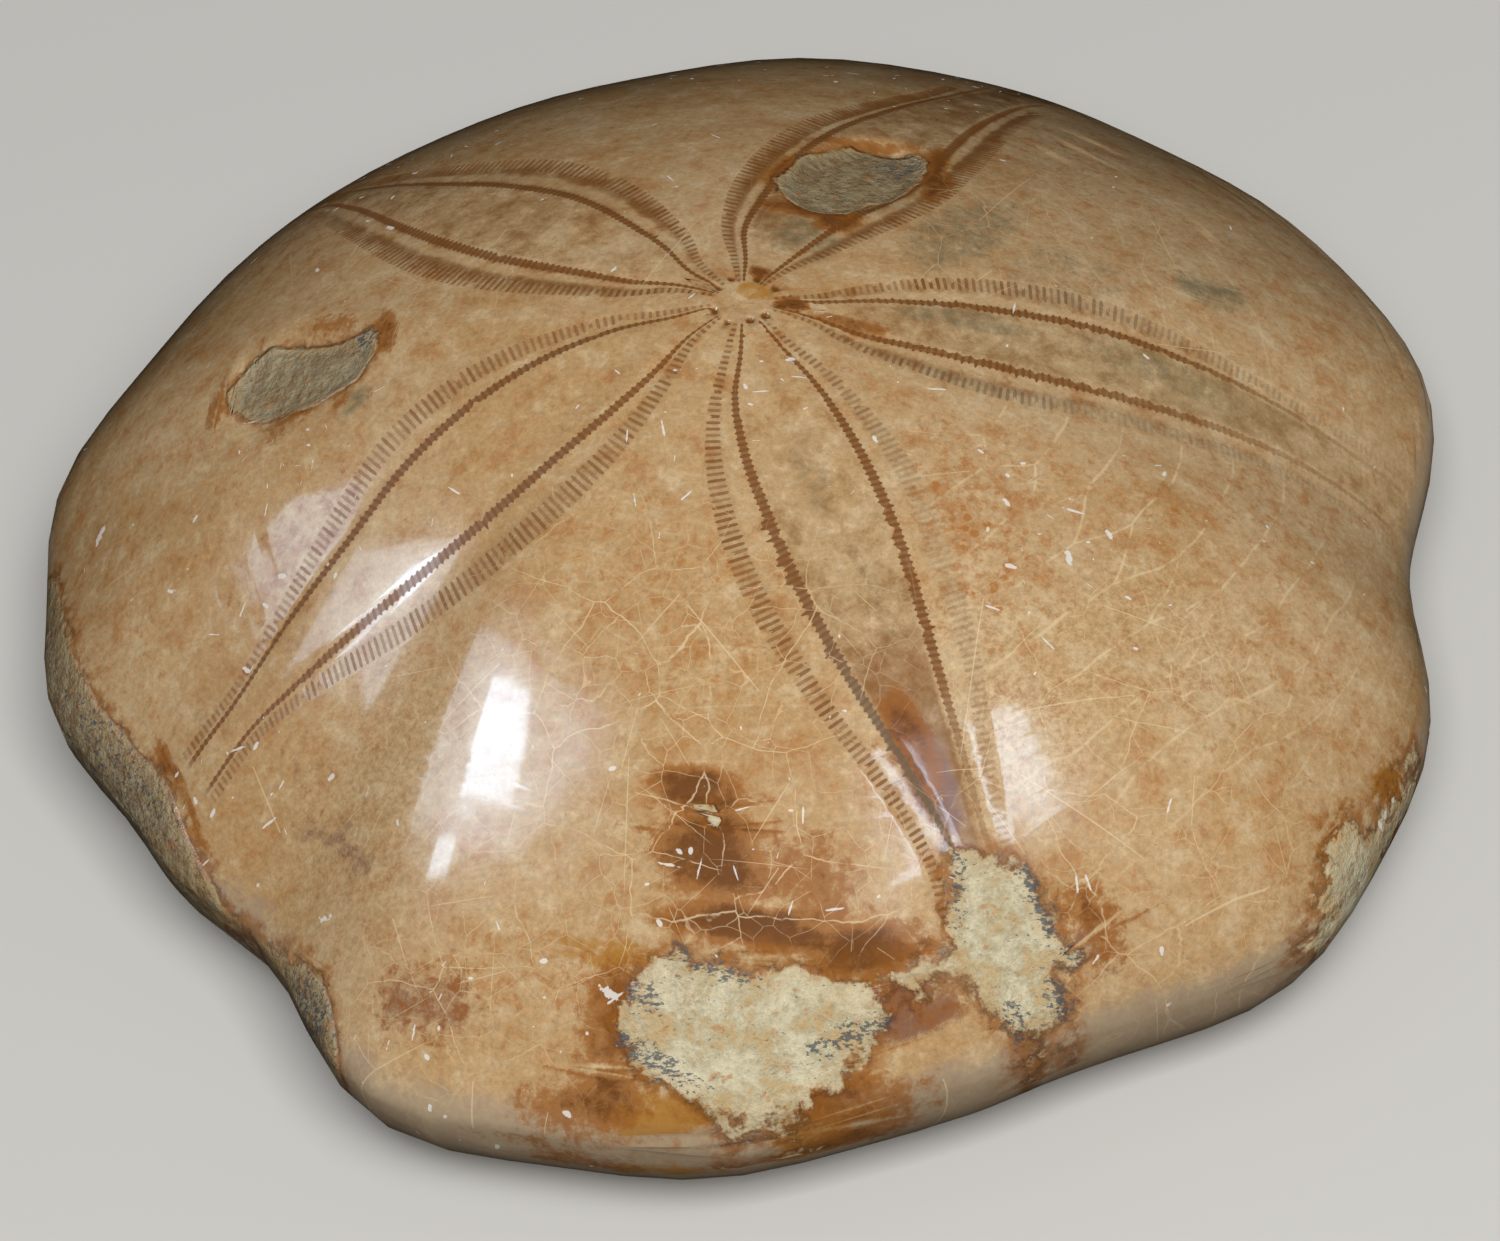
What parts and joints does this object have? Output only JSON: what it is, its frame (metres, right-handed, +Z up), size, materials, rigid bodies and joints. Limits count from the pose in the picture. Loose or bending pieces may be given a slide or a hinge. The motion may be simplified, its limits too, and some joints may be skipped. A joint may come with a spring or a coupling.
{
  "type": "fossil sea urchin",
  "caption": "Low-domed polished fossil sea urchin with petal-shaped pore rows, a lobed rim, worn patches of filling and a hollow underside; rests flat on its rim.",
  "frame": {"origin": "middle of the bounding box in plan, on the surface that the test rests on", "axes": "+X towards the animal's front, where the odd petal points; +Z up, from the mouth to the apical disc; +Y to the animal's left"},
  "size_m": [0.099, 0.1035, 0.0346],
  "materials": {
    "polished_calcite": "polished honey-brown calcite, with dull grey-green stone filling in the worn patches"
  },
  "bodies": {
    "root": {"sea_urchin_test": "polished_calcite"}
  },
  "joints": []
}
